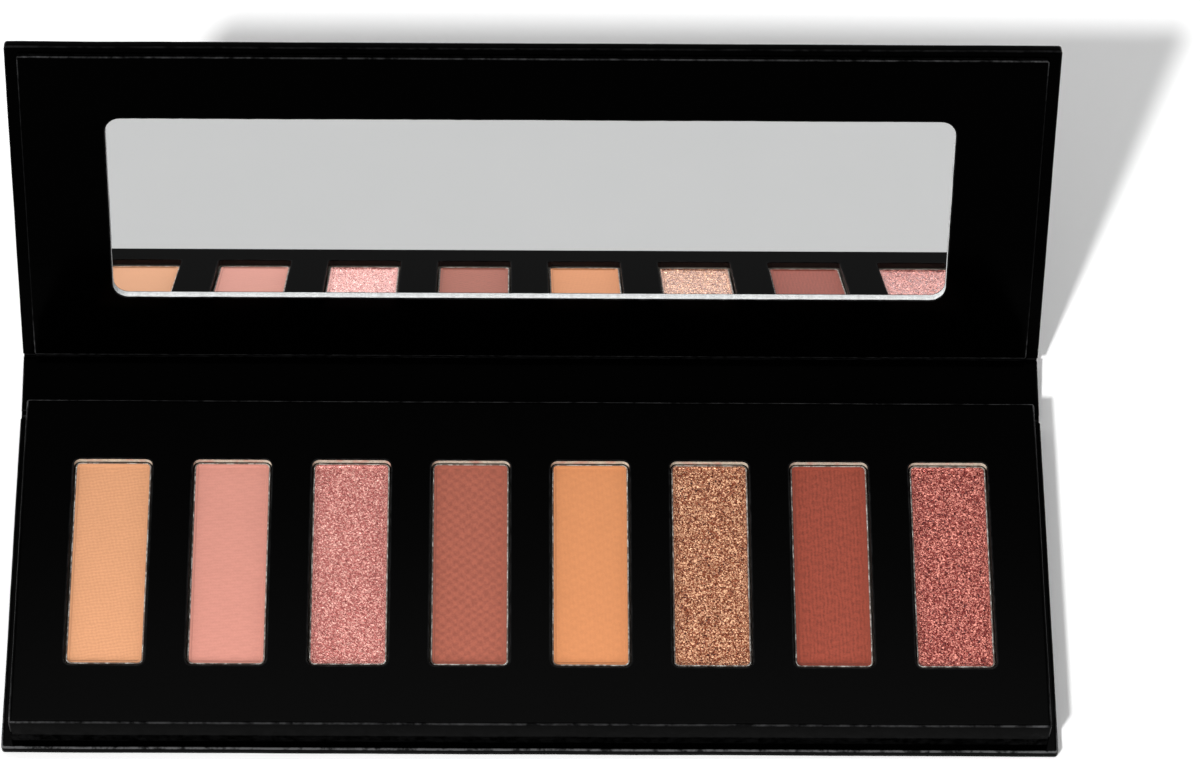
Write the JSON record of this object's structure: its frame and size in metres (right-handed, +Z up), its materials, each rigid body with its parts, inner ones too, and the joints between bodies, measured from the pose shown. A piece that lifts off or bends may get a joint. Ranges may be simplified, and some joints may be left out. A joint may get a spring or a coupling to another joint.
{
  "type": "eyeshadow palette",
  "caption": "Slim book-style card palette with a magnetic fold-back mirror lid and a raised tray holding a row of rectangular pressed eyeshadow pans.",
  "frame": {"origin": "centre of the underside of the base cover, on the plane that the palette stands on", "axes": "+X along the palette to the user's right, +Y to the back towards the folds and the lid, +Z up"},
  "size_m": [0.2, 0.1159, 0.0698],
  "materials": {
    "black_paper": "satin",
    "lining_paper": "satin",
    "greyboard": "matte",
    "white_core_card": "matte",
    "magnet": "polished",
    "pan_metal": "satin",
    "glue": "satin",
    "tape": "matte",
    "mirror_paint": "matte",
    "mirror": "polished",
    "powder_peach": "matte",
    "powder_dusty_pink": "matte",
    "powder_pink_shimmer": "satin",
    "powder_mauve_brown": "matte",
    "powder_apricot": "matte",
    "powder_copper_glitter": "satin",
    "powder_brick_red": "matte",
    "powder_rose_glitter": "satin"
  },
  "bodies": {
    "base": {"base_board": "greyboard", "base_wrap": "black_paper", "base_lining": "lining_paper", "tray_floor_board": "greyboard", "tray_core": "greyboard", "tray_top_card": "white_core_card", "tray_wrap": "black_paper", "pan_glue_dots": "glue", "tray_magnets": "magnet", "pan_1": "pan_metal", "pan_2": "pan_metal", "pan_3": "pan_metal", "pan_4": "pan_metal", "pan_5": "pan_metal", "pan_6": "pan_metal", "pan_7": "pan_metal", "pan_8": "pan_metal", "shadow_1_peach": "powder_peach", "shadow_2_dusty_pink": "powder_dusty_pink", "shadow_3_pink_shimmer": "powder_pink_shimmer", "shadow_4_mauve_brown": "powder_mauve_brown", "shadow_5_apricot": "powder_apricot", "shadow_6_copper_glitter": "powder_copper_glitter", "shadow_7_brick_red": "powder_brick_red", "shadow_8_rose_glitter": "powder_rose_glitter"},
    "spine": {"spine_board": "greyboard", "spine_wrap": "black_paper", "spine_lining": "lining_paper"},
    "lid": {"lid_board": "greyboard", "lid_wrap": "black_paper", "lid_lining": "lining_paper", "lid_magnets": "magnet", "mirror_tape": "tape", "mirror_backing": "mirror_paint", "mirror_glass": "mirror", "mirror_frame_card": "white_core_card", "mirror_frame_wrap": "black_paper"}
  },
  "joints": [
    {"name": "spine_fold", "type": "hinge", "parent": "base", "child": "spine", "pos_m": [0, 0.03665, 0.0001], "axis": [1, 0, 0], "range_deg": [-8, 82]},
    {"name": "lid_fold", "type": "hinge", "parent": "spine", "child": "lid", "pos_m": [0, 0.04952, 0.00191], "axis": [1, 0, 0], "range_deg": [-58.1, 31.9]}
  ]
}
